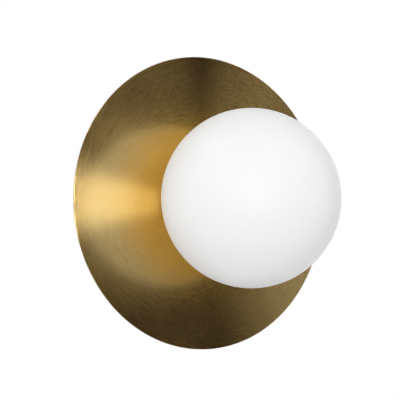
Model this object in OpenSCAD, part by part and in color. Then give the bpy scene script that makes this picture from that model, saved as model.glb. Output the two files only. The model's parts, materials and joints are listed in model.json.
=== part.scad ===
// Globe wall light: an opal glass globe standing on the middle of a flat round brass disc.
// Origin: on the wall, on the lamp's axis. The light faces -Y and +Z is up.
// Inside the modules x runs right, y runs up and z runs out of the wall along the lamp's axis.

/* [Disc] */
// Diameter of the brass disc
disc_d = 350; // [320:5:400]
// Thickness of the brass disc
disc_t = 2; // [1.5:0.1:3]
// Rounding of the disc's front and back edge
disc_edge = 0.6; // [0.3:0.1:0.7]

/* [Globe] */
// Outer diameter of the glass globe
globe_d = 203; // [190:1:220]
// Thickness of the glass
glass_t = 3; // [2.5:0.1:4]
// Outer diameter of the glass neck
neck_d = 80; // [76:1:84]
// Gap between the cup's flange and the foot of the sphere
seat_gap = 0.4; // [0.3:0.1:2]

/* [Globe collar and cup] */
// Wall of the threaded collar that is bonded to the neck, to the thread's root
collar_wall = 2.4; // [1.6:0.1:3]
// Length of the collar
collar_l = 11; // [8:0.5:11.5]
// Pitch of the collar's thread
collar_pitch = 2.75; // [2:0.25:3.5]
// Height of the collar's thread
collar_thread = 0.8; // [0.5:0.1:1]
// Distance of the collar's front edge behind the front of the flange
collar_inset = 2.2; // [1.8:0.1:2.6]
// Gap between the crests of the collar's thread and those of the cup's thread
thread_gap = 0.3; // [0.2:0.05:0.5]
// Depth of the cup from the back of its flange to the back of its floor
cup_depth = 17; // [16.5:0.5:22]
// Wall of the cup
cup_wall = 1.2; // [0.8:0.1:1.6]
// Width of the cup's flange
flange_w = 6; // [4:0.5:9]
// Thickness of the sealing ring under the neck
gasket_t = 2.8; // [2:0.1:3.2]
// Width of the sealing ring
gasket_w = 7; // [5:0.5:8]

/* [Back pan] */
// Outer diameter of the back pan
pan_d = 154; // [154:1:180]
// Wall of the back pan
pan_wall = 1.2; // [0.8:0.1:1.6]
// Outer corner radius of the back pan
pan_corner = 4; // [2.5:0.5:6]
// Gap between the cup and the holes in the disc and the pan
hole_gap = 0.3; // [0.2:0.1:0.6]

/* [Wall strap] */
// Length of the wall strap
strap_l = 112; // [106:1:124]
// Width of the wall strap
strap_w = 24; // [20:1:28]
// Thickness of the wall strap
strap_t = 2; // [1.5:0.1:2.5]
// Space behind the raised middle of the strap
strap_gap = 10.5; // [9:0.5:14]
// Length of the raised middle
strap_mid = 40; // [39:0.5:42]
// Run of each bend between the middle and the pads
strap_run = 5; // [4:0.5:6]
// Distance between the middles of the two screw slots
slot_pitch = 75; // [74:0.5:78]
// Length of a screw slot
slot_l = 20; // [12:0.5:21]
// Width of a screw slot
slot_w = 5.2; // [4.2:0.1:6]

/* [Centre rod and nuts] */
// Outer diameter of the hollow rod
rod_d = 10; // [9:0.5:11]
// Bore of the hollow rod
rod_bore = 7.2; // [6.6:0.1:7.6]
// How far the rod stands out behind its back nut
rod_tail = 0.5; // [0.3:0.1:1]
// Width of a hexagon nut across its flats
nut_af = 17; // [15:0.5:17]
// Thickness of a hexagon nut
nut_t = 3; // [2.5:0.1:4]
// Thickness of the toothed lock washer
lock_t = 0.8; // [0.6:0.1:1.2]
// Diameter of the lock washer
lock_d = 18; // [16:0.5:19]
// Thickness of the plain washer in the cup
washer_t = 1.2; // [1:0.1:2]
// Diameter of the plain washer in the cup
washer_d = 24; // [20:1:28]
// Gap between the front nut and the cup's floor, which lets the cup clamp the disc
clamp_gap = 0.7; // [0.4:0.1:1.5]
// Gap between the rod and a plain hole round it
rod_gap = 0.2; // [0.1:0.05:0.4]

/* [Earth] */
// Distance of the earth screw from the rod
earth_x = 15.5; // [15:0.25:16]
// Thread diameter of the earth screw
earth_d = 4; // [3:0.5:4]
// Head diameter of the earth screw
earth_head_d = 7; // [6:0.5:7]
// Head height of the earth screw
earth_head_h = 1.9; // [1.4:0.1:2]
// Thickness of the earth washer and of the wire's ring tag
tag_t = 0.8; // [0.5:0.1:0.9]

/* [Terminal block] */
// Distance from one pole to the next
pole_pitch = 8; // [7.5:0.25:8]
// Width of the block along its tubes
block_w = 16; // [14:0.5:17]
// Height of the block without its screw towers
block_h = 9; // [8:0.5:10]
// Height of the screw towers
tower_h = 3; // [2:0.5:3.5]
// Gap between the cup and the block
block_gap = 1.8; // [1.2:0.1:1.8]
// Outer diameter of a brass terminal tube
tube_d = 4.4; // [4:0.1:5]
// Bore of a brass terminal tube
tube_bore = 3; // [2.6:0.1:3.2]
// Diameter of a terminal screw
clamp_screw_d = 3.2; // [2.6:0.1:3.4]
// Diameter of the two screws that hold the block
fixing_d = 2.8; // [2.4:0.1:3]

/* [Wires] */
// Diameter of an insulated wire
wire_d = 2.2; // [1.8:0.1:2.4]
// Distance of each wire from the rod's axis
wire_apart = 1.3; // [1.25:0.05:1.4]

/* [Lampholder] */
// Outer diameter of the lampholder
holder_d = 40; // [39:0.5:43]
// Wall of the lampholder's cap
holder_wall = 2; // [1.6:0.1:2.4]
// Diameter of the cap's hub on the rod
hub_d = 17; // [15:0.5:19]
// Length of the cap's hub
hub_l = 6.6; // [6:0.2:9]
// Length of the cap's cone
cone_l = 5; // [4:0.5:7]
// Depth of the wiring space in front of the cone
wiring_l = 8; // [7.5:0.5:10]
// Thickness of the insert that carries the contacts
insert_t = 6; // [5:0.5:8]
// Depth by which the cap and the sleeve overlap
spigot_l = 2; // [1.5:0.5:3]
// Length of the sleeve in front of the insert
sleeve_l = 31.4; // [31:0.2:32]
// Width of the raised ring round the sleeve's mouth
mouth_w = 1.6; // [1:0.1:2]
// Diameter of the sleeve's bore
sleeve_bore = 30.6; // [30.4:0.1:31]
// Thickness of the sheet of the threaded shell
shell_t = 0.4; // [0.3:0.05:0.5]
// Gap between the crests of the shell's thread and those of the bulb's cap
shell_gap = 0.3; // [0.2:0.05:0.4]

/* [Bulb] */
// Outer diameter of the thread on the bulb's cap
cap_d = 26.4; // [26:0.1:26.6]
// Height of the thread on the bulb's cap
cap_thread = 0.9; // [0.6:0.1:1]
// Pitch of the cap's thread
cap_pitch = 3.63; // [3.4:0.01:3.8]
// Length of the bulb from its contact to its crown
bulb_l = 108; // [104:1:112]
// Diameter of the bulb
bulb_d = 60; // [56:1:62]
// Length of the bulb's housing
housing_l = 36; // [32:1:38]
// Wall of the bulb's housing
housing_t = 1.6; // [1.2:0.1:2]
// Wall of the bulb's diffuser
diffuser_t = 1.2; // [0.8:0.1:1.6]
// Number of light-emitting chips
led_count = 10; // [6:1:12]

/* [Hidden] */
$fn = 96;

// How far a cutting shape stands out of the face that it cuts through
cut = 0.5;
// Small bevel that breaks an edge
bevel = 0.4;
// Gap round a pin, a screw or a plug in its hole
slip = 0.1;
// Wider gap round a screw that passes freely through its hole
free_gap = 0.4;

// Distances from the wall, from the strap outwards
strap_front = strap_gap + strap_t;
lock_front = strap_front + lock_t;
front_nut_front = lock_front + nut_t;
floor_back = front_nut_front + clamp_gap;
floor_front = floor_back + cup_wall;
disc_front = floor_back + cup_depth;
disc_back = disc_front - disc_t;
pan_inside = disc_back - pan_wall;
flange_front = disc_front + cup_wall;
cup_washer_front = floor_front + washer_t;
cup_nut_front = cup_washer_front + nut_t;
rod_back = strap_gap - nut_t - rod_tail;

// Radii and places of the globe, its collar and the cup
globe_r = globe_d / 2;
neck_r = neck_d / 2;
collar_root_r = neck_r + collar_wall;
collar_r = collar_root_r + collar_thread;
cup_crest_r = collar_r + thread_gap;
cup_root_r = cup_crest_r + collar_thread;
cup_r = cup_root_r + cup_wall;
hole_r = cup_r + hole_gap;
gasket_front = floor_front + gasket_t;
neck_back = gasket_front + thread_gap;
neck_front = flange_front + seat_gap;
globe_z = neck_front + sqrt(globe_r * globe_r - neck_r * neck_r);
inner_r = globe_r - glass_t;
collar_front = flange_front - collar_inset;
collar_back = collar_front - collar_l;

// Places of the lampholder's pieces
cap_back = cup_nut_front;
hub_front = cap_back + hub_l;
cone_front = hub_front + cone_l;
insert_back = cone_front + wiring_l;
insert_front = insert_back + insert_t;
cap_front = insert_front + spigot_l;
sleeve_front = insert_front + sleeve_l;
holder_r = holder_d / 2;
cap_inner_r = holder_r - holder_wall;
insert_r = cap_inner_r - slip;
wiring_r = cap_inner_r - 1.5;
rod_front = hub_front + 1;
shell_crest_r = cap_d / 2 + shell_gap;
shell_root_r = shell_crest_r + cap_thread;

// Sizes and places of the lampholder's terminals, rivets and small screws
terminal_h = 5;
terminal_w = 5;
terminal_d = 7;
centre_terminal_x = -7;
shell_terminal_x = 10;
terminal_bore = 2.5;
terminal_bore_l = 2.2;
terminal_head_d = 4;
terminal_head_h = 1.3;
rivet_x = 12;
rivet_d = 2.5;
grub_d = 2.9;

// Places of the bulb's pieces
bulb_back = insert_front + 6;
contact_h = 1.2;
contact_r = 4.6;
insulator_h = 3.2;
cap_mouth_r = 10.4;
screw_cap_back = bulb_back + contact_h + insulator_h;
housing_back = sleeve_front + 0.8;
housing_front = housing_back + housing_l;
bulb_r = bulb_d / 2;
bulb_z = bulb_back + bulb_l - bulb_r;
rim_r = sqrt(bulb_r * bulb_r - pow(bulb_z - housing_front, 2));
cap_sheet = 0.4;
spigot_r = cap_d / 2 - cap_thread - cap_sheet;
housing_foot_r = 14.2;
board_t = 1.6;
board_r = rim_r - housing_t - 1.2;
board_front = housing_front;
led_w = 2.8;
led_h = 0.7;
led_ring_r = 14;
driver_t = 1.6;
driver_tail = 12;
driver_reach = 14;
capacitor_d = 8;
capacitor_l = 12;
coil_w = 9;
coil_h = 6.2;
lead_d = 1.2;
lead_x = 6;

// Places of the terminal block's pieces
block_y = cup_r + block_gap;
block_l = 3 * pole_pitch;
block_back = pan_inside - block_h;
tower_back = block_back - tower_h;
tube_z = pan_inside - block_h / 2;
tower_x = block_w / 2 - 3.6;
tower_wall = 1.5;
clamp_slot_w = 0.7;
clamp_slot_h = 0.8;
fixing_head_h = 1.6;
fixing_head_d = 2 * fixing_d;
fixing_slot_w = 0.8;

// Routes of the wires, from the terminal block to the rod, the lampholder and the earth screw.
// The first and the last stretch of each are straight.
live_start = [-block_w / 2, block_y + 0.5 * pole_pitch, tube_z];
neutral_start = live_start + [0, pole_pitch, 0];
earth_start = neutral_start + [0, pole_pitch, 0];
live_end = [shell_terminal_x, 0, insert_back - terminal_h];
neutral_end = [centre_terminal_x, 0, insert_back - terminal_h];
earth_end = [-earth_x - earth_head_d / 2 - 1, 0, strap_front + tag_t + wire_d / 2];
live_route = [
    live_start, live_start + [-4, 0, 0], live_start + [-11, -1, -4], [-22, 46, 11],
    [-16, 33, 5.5], [-6, 18, 3.8], [0, 8, 3.2], [wire_apart, 2.5, 3.8],
    [wire_apart, 0, 7.5], [wire_apart, 0, 14], [wire_apart, 0, 22], [wire_apart, 0, rod_front],
    [4, 0, rod_front + 2.5], live_end - [0.6, 0, 2.6], live_end - [0, 0, 1], live_end
];
neutral_route = [
    neutral_start, neutral_start + [-5, 0, 0], neutral_start + [-16, -3, -4], [-30, 47, 10],
    [-22, 33, 5], [-11, 18, 3.6], [-4, 8, 3.2], [-wire_apart, 2.5, 3.8],
    [-wire_apart, 0, 7.5], [-wire_apart, 0, 14], [-wire_apart, 0, 22], [-wire_apart, 0, rod_front],
    [-3, 0, rod_front + 2.5], neutral_end - [-0.6, 0, 3], neutral_end - [0, 0, 1], neutral_end
];
earth_route = [
    earth_start, earth_start + [-6, 0, 0], earth_start + [-22, -5, -4], [-40, 46, 16],
    [-40, 30, 9], [-34, 16, 9], [-28, 6, 12.5], earth_end - [3, 0, 0], earth_end
];

// Points on an arc round [x, y] from angle a0 to angle a1
function arc(x, y, r, a0, a1, n = 6) =
    [for (i = [0 : n]) let (a = a0 + (a1 - a0) * i / n) [x + r * cos(a), y + r * sin(a)]];

// The same vector with a length of one
function unit(v) = v / norm(v);

// A smooth curve through the points p, with n steps between two points
function smooth_step(a, b, c, d, t) =
    0.5 * (2 * b + (c - a) * t + (2 * a - 5 * b + 4 * c - d) * t * t
        + (3 * b - a - 3 * c + d) * t * t * t);
function smooth(p, n) = concat(
    [for (i = [0 : len(p) - 2], k = [0 : n - 1])
        smooth_step(p[max(i - 1, 0)], p[i], p[i + 1], p[min(i + 2, len(p) - 1)], k / n)],
    [p[len(p) - 1]]);

// Direction of a path at each of its points
function directions(p) =
    [for (i = [0 : len(p) - 1]) unit(p[min(i + 1, len(p) - 1)] - p[max(i - 1, 0)])];

// A side vector carried along the path without twisting
function carried(t, sides) =
    len(sides) == len(t) ? sides
        : let (v = sides[len(sides) - 1], d = t[len(sides)])
            carried(t, concat(sides, [unit(v - (v * d) * d)]));

// Profile of a thread drawn as rings: radii from r_low to r_high, along z from z0 for n turns
function ring_thread(r_low, r_high, z0, pitch, n, steps = 6) =
    [for (i = [0 : n * steps])
        [r_low + (r_high - r_low) * (1 - cos(360 * i / steps)) / 2, z0 + pitch * i / steps]];

// Turns the lamp's own directions into those of the room
module on_wall() {
    rotate([90, 0, 0]) children();
}

// A solid of revolution about the lamp's axis, from a list of [radius, distance from the wall]
module turned(profile) {
    on_wall() rotate_extrude() polygon(profile);
}

// A washer or a disc with a hole, between two distances from the wall
module ring(r_out, r_in, z0, z1) {
    on_wall() difference() {
        translate([0, 0, z0]) cylinder(r = r_out, h = z1 - z0);
        translate([0, 0, z0 - cut]) cylinder(r = r_in, h = z1 - z0 + 2 * cut);
    }
}

// A hexagon nut on the rod, with its back face at z0
module hex_nut(z0) {
    on_wall() difference() {
        intersection() {
            translate([0, 0, z0]) cylinder(d = nut_af / cos(30), h = nut_t, $fn = 6);
            union() {
                translate([0, 0, z0]) cylinder(d1 = nut_af, d2 = nut_af + 2 * nut_t, h = nut_t / 2);
                translate([0, 0, z0 + nut_t / 2])
                    cylinder(d1 = nut_af + 2 * nut_t, d2 = nut_af, h = nut_t / 2);
            }
        }
        translate([0, 0, z0 - cut]) cylinder(d = rod_d, h = nut_t + 2 * cut);
    }
}

// A wire of round section swept along a route
module wire(route) {
    sides = 8;
    last = len(route) - 1;
    inner = [for (i = [1 : last - 1]) route[i]];
    path = concat([route[0]], smooth(inner, 2), [route[last]]);
    t = directions(path);
    side = carried(t, [unit(cross(t[0], [0, 1, 0.2]))]);
    rings = len(path);
    on_wall() polyhedron(
        points = [for (i = [0 : rings - 1], k = [0 : sides - 1])
            let (a = 360 * k / sides, up = cross(t[i], side[i]))
                path[i] + wire_d / 2 * (cos(a) * side[i] + sin(a) * up)],
        faces = concat(
            [for (k = [1 : sides - 2]) [0, k, k + 1]],
            [for (k = [1 : sides - 2]) let (e = (rings - 1) * sides) [e, e + k + 1, e + k]],
            [for (i = [0 : rings - 2], k = [0 : sides - 1])
                let (a = i * sides + k, b = i * sides + (k + 1) % sides) [a, a + sides, b + sides]],
            [for (i = [0 : rings - 2], k = [0 : sides - 1])
                let (a = i * sides + k, b = i * sides + (k + 1) % sides) [a, b + sides, b]]));
}

// Steel strap that is screwed to the wall: two pads with slots and a raised middle
module wall_strap() {
    miter = strap_t * tan(atan2(strap_gap, strap_run) / 2);
    half = strap_l / 2;
    mid = strap_mid / 2;
    foot = mid + strap_run;
    under = [[half, 0], [foot, 0], [mid, strap_gap]];
    over = [[mid + miter, strap_front], [foot + miter, strap_t], [half, strap_t]];
    color("#c8c9c8") on_wall() difference() {
        rotate([90, 0, 0]) linear_extrude(height = strap_w, center = true)
            polygon(concat(under, [for (i = [2 : -1 : 0]) [-under[i][0], under[i][1]]],
                [for (i = [2 : -1 : 0]) [-over[i][0], over[i][1]]], over));
        for (s = [-1, 1]) translate([s * slot_pitch / 2, 0, -cut]) slot_cutter(strap_t + 2 * cut);
        translate([0, 0, strap_gap - cut])
            cylinder(r = rod_d / 2 + rod_gap, h = strap_t + 2 * cut);
        translate([-earth_x, 0, strap_gap - cut]) cylinder(d = earth_d, h = strap_t + 2 * cut);
        for (sx = [-1, 1], sy = [-1, 1]) translate([sx * half, sy * strap_w / 2, -cut])
            rotate([0, 0, 45]) cube([5, 5, 2 * strap_t + 2 * cut], center = true);
    }
}

// A long hole for a wall screw
module slot_cutter(h) {
    straight = slot_l - slot_w;
    for (s = [-1, 1]) translate([s * straight / 2, 0, 0]) cylinder(d = slot_w, h = h);
    translate([-straight / 2, -slot_w / 2, 0]) cube([straight, slot_w, h]);
}

// Nut behind the strap's raised middle
module strap_back_nut() {
    color("#b9a36a") hex_nut(strap_gap - nut_t);
}

// Toothed washer between the strap and its front nut
module strap_lock_washer() {
    teeth = 12;
    notch_d = 2.2;
    color("#a9abad") on_wall() difference() {
        translate([0, 0, strap_front]) cylinder(d = lock_d, h = lock_t);
        translate([0, 0, strap_front - cut])
            cylinder(r = rod_d / 2 + rod_gap, h = lock_t + 2 * cut);
        for (i = [0 : teeth - 1]) rotate([0, 0, 360 * i / teeth])
            translate([lock_d / 2, 0, strap_front - cut])
                cylinder(d = notch_d, h = lock_t + 2 * cut, $fn = 24);
    }
}

// Nut in front of the strap
module strap_front_nut() {
    color("#b9a36a") hex_nut(lock_front);
}

// Hollow rod that carries the cup and the lampholder and leads the wires
module centre_rod() {
    r = rod_d / 2;
    color("#b8a877") turned([
        [rod_bore / 2, rod_back], [r - bevel, rod_back], [r, rod_back + bevel],
        [r, rod_front - bevel], [r - bevel, rod_front], [rod_bore / 2, rod_front]]);
}

// Screw that clamps the earth wire's ring tag to the strap
module earth_screw() {
    head_z = strap_front + 2 * tag_t;
    tail = 2;
    slot = 1;
    color("#5d8f4e") on_wall() translate([-earth_x, 0, 0]) difference() {
        union() {
            translate([0, 0, strap_gap - tail]) cylinder(d = earth_d, h = head_z - strap_gap + tail);
            translate([0, 0, head_z]) cylinder(d = earth_head_d, h = earth_head_h);
        }
        translate([-earth_head_d / 2 - cut, -slot / 2, head_z + earth_head_h / 2])
            cube([earth_head_d + 2 * cut, slot, earth_head_h]);
    }
}

// Washer under the earth screw's head
module earth_washer() {
    color("#c7b37a") translate([-earth_x, 0, 0])
        ring(earth_head_d / 2 + 0.3, earth_d / 2, strap_front + tag_t, strap_front + 2 * tag_t);
}

// Ring tag crimped to the end of the earth wire
module earth_ring_tag() {
    barrel_l = 3;
    color("#c9cac8") on_wall() translate([-earth_x, 0, strap_front]) difference() {
        union() {
            cylinder(d = earth_head_d, h = tag_t);
            translate([-earth_head_d / 2 - 1, -wire_d / 2, 0]) cube([barrel_l, wire_d, tag_t]);
        }
        translate([0, 0, -cut]) cylinder(d = earth_d, h = tag_t + 2 * cut);
    }
}

// Round pan that hides the strap and holds the disc off the wall
module back_pan() {
    r = pan_d / 2;
    inner_corner = pan_corner - pan_wall;
    color("#c49f5f") difference() {
        turned(concat(
            [[r, 0]],
            arc(r - pan_corner, disc_back - pan_corner, pan_corner, 0, 90),
            [[hole_r, disc_back], [hole_r, pan_inside]],
            arc(r - pan_corner, disc_back - pan_corner, inner_corner, 90, 0),
            [[r - pan_wall, 0]]));
        on_wall() for (i = [1, 2]) translate([0, block_y + i * pole_pitch, pan_inside - cut])
            cylinder(d = fixing_d, h = pan_wall + 2 * cut, $fn = 32);
    }
}

// Body of the three-pole terminal block, fixed inside the pan
module terminal_block() {
    color("#ecebe4") on_wall() difference() {
        union() {
            translate([-block_w / 2, block_y, block_back]) cube([block_w, block_l, block_h]);
            for (i = [0 : 2], s = [-1, 1]) translate([s * tower_x, pole_y(i), tower_back])
                cylinder(d = clamp_screw_d + 2 * tower_wall, h = tower_h + cut, $fn = 48);
        }
        for (i = [0 : 2]) {
            translate([0, pole_y(i), tube_z]) rotate([0, 90, 0])
                cylinder(d = tube_d, h = block_w + 2 * cut, center = true, $fn = 48);
            for (s = [-1, 1]) translate([s * tower_x, pole_y(i), tower_back - cut])
                cylinder(d = clamp_screw_d + 2 * slip, h = tube_z - tower_back + cut, $fn = 48);
        }
        for (i = [1, 2]) translate([0, block_y + i * pole_pitch, block_back - cut])
            cylinder(d = fixing_d + free_gap, h = block_h + 2 * cut, $fn = 32);
    }
}

// Height of a pole's middle above the lamp's axis
function pole_y(i) = block_y + (i + 0.5) * pole_pitch;

// Three brass tubes that take the wire ends
module terminal_tubes() {
    color("#c8a951") on_wall() for (i = [0 : 2]) translate([0, pole_y(i), tube_z]) difference() {
        rotate([0, 90, 0]) cylinder(d = tube_d, h = block_w - 1, center = true, $fn = 48);
        rotate([0, 90, 0]) cylinder(d = tube_bore, h = block_w + 2 * cut, center = true, $fn = 48);
        for (s = [-1, 1]) translate([s * tower_x, 0, -tube_d])
            cylinder(d = clamp_screw_d, h = tube_d, $fn = 48);
    }
}

// Six slotted screws that clamp the wire ends
module terminal_screws() {
    sunk = 0.8;
    l = tube_z - tower_back - sunk - 0.4;
    color("#d9c37c") on_wall() for (i = [0 : 2], s = [-1, 1])
        translate([s * tower_x, pole_y(i), tower_back + sunk]) difference() {
            cylinder(d = clamp_screw_d, h = l, $fn = 48);
            translate([-clamp_slot_w / 2, -clamp_screw_d / 2 - cut, -cut])
                cube([clamp_slot_w, clamp_screw_d + 2 * cut, clamp_slot_h + cut]);
        }
}

// Two screws that hold the terminal block to the pan
module block_fixing_screws() {
    color("#c9cac8") on_wall() for (i = [1, 2]) translate([0, block_y + i * pole_pitch, 0])
        difference() {
            union() {
                translate([0, 0, block_back])
                    cylinder(d = fixing_d, h = disc_back - block_back, $fn = 32);
                translate([0, 0, block_back - fixing_head_h])
                    cylinder(d = fixing_head_d, h = fixing_head_h, $fn = 48);
            }
            translate([-fixing_slot_w / 2, -fixing_head_d / 2 - cut, block_back - fixing_head_h - cut])
                cube([fixing_slot_w, fixing_head_d + 2 * cut, fixing_head_h / 2 + cut]);
        }
}

// Live wire from the terminal block through the rod to the shell's terminal
module live_wire() {
    color("#6f4a2c") wire(live_route);
}

// Neutral wire from the terminal block through the rod to the centre contact's terminal
module neutral_wire() {
    color("#3f6fa8") wire(neutral_route);
}

// Earth wire from the terminal block to the strap's earth screw
module earth_wire() {
    color("#7fa63c") wire(earth_route);
}

// Flat brass disc that stands behind the globe
module disc() {
    r = disc_d / 2;
    color("#c79f58") turned(concat(
        [[hole_r, disc_back]],
        arc(r - disc_edge, disc_back + disc_edge, disc_edge, -90, 0, 4),
        arc(r - disc_edge, disc_front - disc_edge, disc_edge, 0, 90, 4),
        [[hole_r, disc_front]]));
}

// Cup sunk in the disc: its flange clamps the disc and its thread takes the globe's collar
module globe_cup() {
    flange_r = cup_r + flange_w;
    turns = floor((collar_front - neck_back) / collar_pitch);
    thread_z = collar_front - turns * collar_pitch;
    color("#b98f4b") turned(concat(
        [[rod_d / 2 + rod_gap, floor_back], [cup_r, floor_back], [cup_r, disc_front]],
        [[flange_r, disc_front], [flange_r, flange_front - bevel], [flange_r - bevel, flange_front]],
        [[cup_crest_r + bevel, flange_front], [cup_root_r, collar_front + bevel]],
        [for (p = ring_thread(0, collar_thread, -collar_front, collar_pitch, turns))
            [cup_root_r - p[0], -p[1]]],
        [[cup_root_r, thread_z - bevel], [cup_root_r, floor_front]],
        [[rod_d / 2 + rod_gap, floor_front]]));
}

// Plain washer in the cup
module cup_washer() {
    color("#c9cac8") ring(washer_d / 2, rod_d / 2 + rod_gap, floor_front, cup_washer_front);
}

// Nut in the cup, which pulls the cup and the disc against the pan
module cup_nut() {
    color("#b9a36a") hex_nut(cup_washer_front);
}

// Silicone ring that the glass neck closes on
module globe_gasket() {
    r_out = cup_root_r - free_gap;
    color("#dcdcd6") ring(r_out, r_out - gasket_w, floor_front, gasket_front);
}

// Back part of the lampholder, screwed on the rod
module holder_cap() {
    bore_r = rod_d / 2 + slip / 2;
    color("#e9e8e3") difference() {
        turned([
            [bore_r, cap_back], [hub_d / 2 - bevel, cap_back], [hub_d / 2, cap_back + bevel],
            [hub_d / 2, hub_front], [holder_r - 1, cone_front - 1], [holder_r, cone_front],
            [holder_r, cap_front], [cap_inner_r, cap_front], [cap_inner_r, insert_back],
            [wiring_r, insert_back], [wiring_r, cone_front + holder_wall - 0.2],
            [bore_r, hub_front + holder_wall]]);
        on_wall() translate([0, 0, cap_back + hub_l / 2]) rotate([90, 0, 0])
            cylinder(d = grub_d + slip, h = hub_d, $fn = 32);
    }
}

// Small screw that locks the cap on the rod
module holder_grub_screw() {
    l = hub_d / 2 - rod_d / 2 - 0.3;
    socket_d = 1.5;
    socket_h = 1;
    color("#8d8f92") on_wall() translate([0, -rod_d / 2, cap_back + hub_l / 2])
        rotate([90, 0, 0]) difference() {
            cylinder(d = grub_d, h = l, $fn = 32);
            translate([0, 0, l - socket_h]) cylinder(d = socket_d, h = socket_h + cut, $fn = 6);
        }
}

// Ceramic insert that carries the contacts and terminals
module holder_insert() {
    color("#f1efe8") on_wall() difference() {
        translate([0, 0, insert_back]) cylinder(r = insert_r, h = insert_t);
        for (x = [centre_terminal_x, rivet_x]) translate([x, 0, insert_back - cut])
            cylinder(d = rivet_d + slip, h = insert_t + 2 * cut, $fn = 32);
    }
}

// Two brass blocks that take the wires behind the insert
module holder_terminals() {
    color("#c8a951") on_wall() for (x = [centre_terminal_x, shell_terminal_x]) difference() {
        translate([x - terminal_w / 2, -terminal_d / 2, insert_back - terminal_h])
            cube([terminal_w, terminal_d, terminal_h]);
        translate([x, terminal_d / 2 - terminal_bore_l, insert_back - terminal_h / 2])
            rotate([-90, 0, 0]) cylinder(d = terminal_bore, h = terminal_bore_l + cut, $fn = 32);
    }
}

// Two screws that clamp the wires in the blocks
module holder_terminal_screws() {
    slot_w = 0.6;
    slot_z = terminal_bore_l + terminal_head_h / 2;
    color("#d9c37c") on_wall() for (x = [centre_terminal_x, shell_terminal_x])
        translate([x, terminal_d / 2 - terminal_bore_l, insert_back - terminal_h / 2])
            rotate([-90, 0, 0]) difference() {
                union() {
                    cylinder(d = terminal_bore - slip, h = terminal_bore_l, $fn = 32);
                    translate([0, 0, terminal_bore_l])
                        cylinder(d = terminal_head_d, h = terminal_head_h, $fn = 32);
                }
                translate([-terminal_head_d / 2 - cut, -slot_w / 2, slot_z])
                    cube([terminal_head_d + 2 * cut, slot_w, terminal_head_h]);
            }
}

// Two rivets that join the contacts to the terminals through the insert
module contact_rivets() {
    color("#c8a951") on_wall() for (x = [centre_terminal_x, rivet_x])
        translate([x, 0, insert_back]) cylinder(d = rivet_d, h = insert_t, $fn = 32);
}

// Springy brass tongue that touches the bulb's tip
module centre_contact() {
    sheet = 0.5;
    foot = centre_terminal_x - 1.6;
    bend = centre_terminal_x + 2;
    top = bulb_back - 0.3 - insert_front;
    color("#d2b45c") on_wall() translate([0, 0, insert_front]) rotate([90, 0, 0])
        linear_extrude(height = 5, center = true) polygon([
            [foot, 0], [bend, 0], [-1.5, top - sheet], [3, top - sheet], [4.4, top - 1.8],
            [4.9, top - 1.6], [3.4, top], [-1.7, top], [bend - 0.2, sheet], [foot, sheet]]);
}

// Threaded brass shell that takes the bulb's cap
module screw_shell() {
    turns = 5;
    thread_z = sleeve_front - 4 - turns * cap_pitch;
    base_r = 9.4;
    outer = ring_thread(shell_crest_r, shell_root_r, thread_z, cap_pitch, turns);
    color("#cdb063") turned(concat(
        [[base_r, insert_front], [shell_root_r + shell_t, insert_front]],
        [[shell_root_r + shell_t, insert_front + 3], [shell_crest_r + shell_t, insert_front + 4]],
        [for (p = outer) p + [shell_t, 0]],
        [[shell_crest_r + shell_t, sleeve_front - 3], [shell_crest_r, sleeve_front - 3]],
        [for (i = [len(outer) - 1 : -1 : 0]) outer[i]],
        [[shell_crest_r, insert_front + 4], [shell_root_r, insert_front + 3]],
        [[shell_root_r, insert_front + shell_t], [base_r, insert_front + shell_t]]));
}

// Front part of the lampholder round the threaded shell
module holder_sleeve() {
    lip_r = cap_d / 2 + 1;
    bore_r = sleeve_bore / 2;
    color("#e9e8e3") turned([
        [bore_r, insert_front], [insert_r, insert_front], [insert_r, cap_front],
        [holder_r, cap_front], [holder_r, sleeve_front - 5], [holder_r + mouth_w, sleeve_front - 4],
        [holder_r + mouth_w, sleeve_front - 1], [holder_r + mouth_w - 1, sleeve_front],
        [lip_r + 0.5, sleeve_front], [lip_r, sleeve_front - 0.5],
        [lip_r, sleeve_front - 2], [bore_r, sleeve_front - 2]]);
}

// Opal glass globe with its neck
module globe() {
    color("#f7f6f2") on_wall() difference() {
        union() {
            translate([0, 0, globe_z]) sphere(r = globe_r);
            translate([0, 0, neck_back]) cylinder(r = neck_r, h = globe_z - neck_back);
        }
        translate([0, 0, globe_z]) sphere(r = inner_r);
        translate([0, 0, neck_back - cut]) cylinder(r = neck_r - glass_t, h = globe_z - neck_back);
        translate([0, 0, neck_back - globe_r]) cylinder(r = globe_r, h = globe_r);
        difference() {
            translate([0, 0, neck_back - cut]) cylinder(r = globe_r, h = neck_front - neck_back + cut);
            translate([0, 0, neck_back - 2 * cut])
                cylinder(r = neck_r, h = neck_front - neck_back + 3 * cut);
        }
    }
}

// Threaded aluminium collar bonded to the neck
module globe_collar() {
    turns = floor(collar_l / collar_pitch);
    lead = (collar_l - turns * collar_pitch) / 2;
    color("#b9bcc0") turned(concat(
        [[neck_r, collar_back], [collar_root_r - bevel, collar_back]],
        [[collar_root_r, collar_back + slip]],
        ring_thread(collar_root_r, collar_r, collar_back + slip + lead, collar_pitch, turns - 1),
        [[collar_root_r, collar_front - slip], [collar_root_r - bevel, collar_front]],
        [[neck_r, collar_front]]));
}

// Opal dome of the bulb
module bulb_diffuser() {
    color("#f4f2ea") on_wall() difference() {
        translate([0, 0, bulb_z]) sphere(r = bulb_r);
        translate([0, 0, bulb_z]) sphere(r = bulb_r - diffuser_t);
        translate([0, 0, housing_front - 2 * bulb_r]) cylinder(r = 2 * bulb_r, h = 2 * bulb_r);
    }
}

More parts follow.
